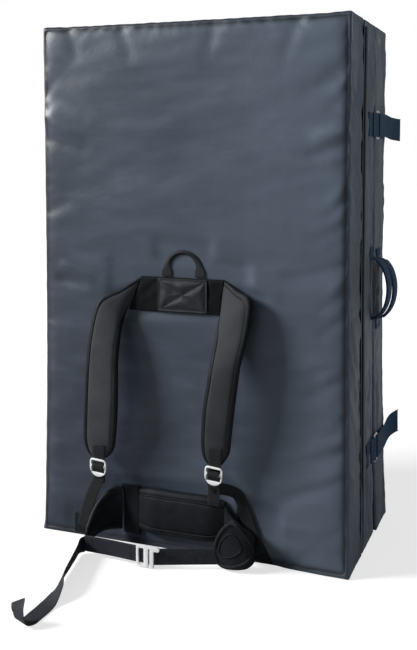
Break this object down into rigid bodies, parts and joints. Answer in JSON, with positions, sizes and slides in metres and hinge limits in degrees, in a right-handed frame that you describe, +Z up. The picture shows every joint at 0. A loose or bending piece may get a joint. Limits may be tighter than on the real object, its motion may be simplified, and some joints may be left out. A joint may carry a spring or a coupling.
{
  "type": "bouldering crash pad",
  "caption": "Folding bouldering crash pad of hinged foam panels in fabric covers, with side closures, carry handles, padded shoulder straps and a hip belt.",
  "frame": {"origin": "centre of the middle panel's flat bottom face, on the ground the folded pad stands on", "axes": "+Z up, -Y out of the harness face of the front panel, +X to the viewer's right when looking at the harness"},
  "size_m": [0.7233, 0.7783, 1.1],
  "materials": {
    "cover_fabric": "coated woven polyester, semi-gloss",
    "closed_cell_foam": "closed-cell foam sheet, matt",
    "open_cell_foam": "open-cell foam block, matt",
    "zip_tape": "woven zip tape with a coil chain",
    "zip_metal": "nickelled zip slider",
    "hinge_fabric": "plain woven hinge strip",
    "black_webbing": "woven webbing",
    "harness_fabric": "heavy woven harness fabric over padding",
    "spacer_mesh": "open spacer mesh over foam",
    "navy_webbing": "flat woven webbing",
    "bright_metal": "polished light alloy"
  },
  "bodies": {
    "middle_panel": {"middle_cover": "cover_fabric", "middle_firm_foam": "closed_cell_foam", "middle_soft_foam": "open_cell_foam", "middle_zip": "zip_tape", "front_hinge_fabric": "hinge_fabric", "back_hinge_fabric": "hinge_fabric", "right_upper_closure_anchor": "navy_webbing", "right_lower_closure_anchor": "navy_webbing", "left_upper_closure_anchor": "navy_webbing", "left_lower_closure_anchor": "navy_webbing", "middle_handle": "navy_webbing"},
    "front_panel": {"front_cover": "cover_fabric", "front_firm_foam": "closed_cell_foam", "front_soft_foam": "open_cell_foam", "front_zip": "zip_tape", "yoke_band": "harness_fabric", "yoke_patch": "black_webbing", "left_lower_anchor": "harness_fabric", "right_lower_anchor": "harness_fabric", "lumbar_pad": "harness_fabric", "belt_sleeve": "black_webbing", "left_adjuster_webbing": "black_webbing", "right_adjuster_webbing": "black_webbing", "left_upper_closure_strap": "navy_webbing", "left_lower_closure_strap": "navy_webbing"},
    "back_panel": {"back_cover": "cover_fabric", "back_firm_foam": "closed_cell_foam", "back_soft_foam": "open_cell_foam", "back_zip": "zip_tape", "back_handle": "navy_webbing", "right_upper_closure_strap": "navy_webbing", "right_lower_closure_strap": "navy_webbing"},
    "front_slider": {"front_zip_slider": "zip_metal"},
    "middle_slider": {"middle_zip_slider": "zip_metal"},
    "back_slider": {"back_zip_slider": "zip_metal"},
    "haul_loop": {"haul_loop": "black_webbing"},
    "left_strap": {"left_shoulder_pad": "spacer_mesh", "left_strap_tab": "black_webbing"},
    "right_strap": {"right_shoulder_pad": "spacer_mesh", "right_strap_tab": "black_webbing"},
    "left_lock": {"left_ladder_lock": "bright_metal"},
    "right_lock": {"right_ladder_lock": "bright_metal"},
    "left_fin": {"left_hip_fin": "harness_fabric", "belt_tail": "black_webbing"},
    "left_belt": {"left_belt_webbing": "black_webbing"},
    "hook": {"hook_buckle": "bright_metal"},
    "right_fin": {"right_hip_fin": "harness_fabric"},
    "right_belt": {"right_belt_webbing": "black_webbing"},
    "right_upper_ring": {"right_upper_closure_ring": "bright_metal"},
    "right_lower_ring": {"right_lower_closure_ring": "bright_metal"},
    "left_upper_ring": {"left_upper_closure_ring": "bright_metal"},
    "left_lower_ring": {"left_lower_closure_ring": "bright_metal"}
  },
  "joints": [
    {"name": "front_fold", "type": "hinge", "parent": "middle_panel", "child": "front_panel", "pos_m": [0.346, -0.063, 0], "axis": [0, 0, 1], "range_deg": [0, 180], "deforming": ["front_hinge_fabric", "left_upper_closure_strap", "left_lower_closure_strap", "middle_handle"]},
    {"name": "back_fold", "type": "hinge", "parent": "middle_panel", "child": "back_panel", "pos_m": [-0.346, 0.06, 0], "axis": [0, 0, 1], "range_deg": [0, 180], "deforming": ["back_hinge_fabric", "right_upper_closure_strap", "right_lower_closure_strap"]},
    {"name": "front_zip_slide", "type": "slide", "parent": "front_panel", "child": "front_slider", "axis": [-1, 0, 0], "range_m": [0, 0.49]},
    {"name": "middle_zip_slide", "type": "slide", "parent": "middle_panel", "child": "middle_slider", "axis": [-1, 0, 0], "range_m": [0, 0.49]},
    {"name": "back_zip_slide", "type": "slide", "parent": "back_panel", "child": "back_slider", "axis": [-1, 0, 0], "range_m": [0, 0.49]},
    {"name": "haul_loop_swing", "type": "hinge", "parent": "front_panel", "child": "haul_loop", "pos_m": [-0.008, -0.18665, 0.5755], "axis": [1, 0, 0], "range_deg": [0, 120]},
    {"name": "left_strap_swing", "type": "hinge", "parent": "front_panel", "child": "left_strap", "pos_m": [-0.12087, -0.18574, 0.576], "axis": [-1, 0, 0], "range_deg": [0, 60], "deforming": ["left_adjuster_webbing"]},
    {"name": "right_strap_swing", "type": "hinge", "parent": "front_panel", "child": "right_strap", "pos_m": [0.08136, -0.18579, 0.576], "axis": [-1, 0, 0], "range_deg": [0, 60], "deforming": ["right_adjuster_webbing"]},
    {"name": "left_lock_tilt", "type": "hinge", "parent": "left_strap", "child": "left_lock", "pos_m": [-0.1841, -0.22809, 0.18303], "axis": [-1, 0, 0], "range_deg": [0, 25]},
    {"name": "right_lock_tilt", "type": "hinge", "parent": "right_strap", "child": "right_lock", "pos_m": [0.07469, -0.22855, 0.19807], "axis": [-1, 0, 0], "range_deg": [0, 25]},
    {"name": "left_fin_swing", "type": "hinge", "parent": "front_panel", "child": "left_fin", "pos_m": [-0.1486, -0.19184, 0.033], "axis": [0, 0, -1], "range_deg": [-20, 18]},
    {"name": "right_fin_swing", "type": "hinge", "parent": "front_panel", "child": "right_fin", "pos_m": [0.0862, -0.19187, 0.033], "axis": [0, 0, -1], "range_deg": [-12, 20]},
    {"name": "left_belt_swing", "type": "hinge", "parent": "left_fin", "child": "left_belt", "pos_m": [-0.19416, -0.27012, 0.0235], "axis": [0, 0, -1], "range_deg": [0, 45]},
    {"name": "hook_swivel", "type": "hinge", "parent": "left_belt", "child": "hook", "pos_m": [-0.072, -0.27818, 0.0235], "axis": [0, 0, -1], "range_deg": [0, 40]},
    {"name": "right_belt_swing", "type": "hinge", "parent": "right_fin", "child": "right_belt", "pos_m": [0.07798, -0.23689, 0.026], "axis": [0, 0, 1], "range_deg": [0, 45], "deforming": ["right_belt_webbing"]},
    {"name": "right_upper_ring_swing", "type": "hinge", "parent": "middle_panel", "child": "right_upper_ring", "pos_m": [0.34273, 0.043, 0.888], "axis": [0, 0, 1], "range_deg": [-80, 0]},
    {"name": "right_lower_ring_swing", "type": "hinge", "parent": "middle_panel", "child": "right_lower_ring", "pos_m": [0.34289, 0.043, 0.19], "axis": [0, 0, 1], "range_deg": [-80, 0]},
    {"name": "left_upper_ring_swing", "type": "hinge", "parent": "middle_panel", "child": "left_upper_ring", "pos_m": [-0.34273, -0.043, 0.888], "axis": [0, 0, 1], "range_deg": [-80, 0]},
    {"name": "left_lower_ring_swing", "type": "hinge", "parent": "middle_panel", "child": "left_lower_ring", "pos_m": [-0.34289, -0.043, 0.19], "axis": [0, 0, 1], "range_deg": [-80, 0]}
  ]
}
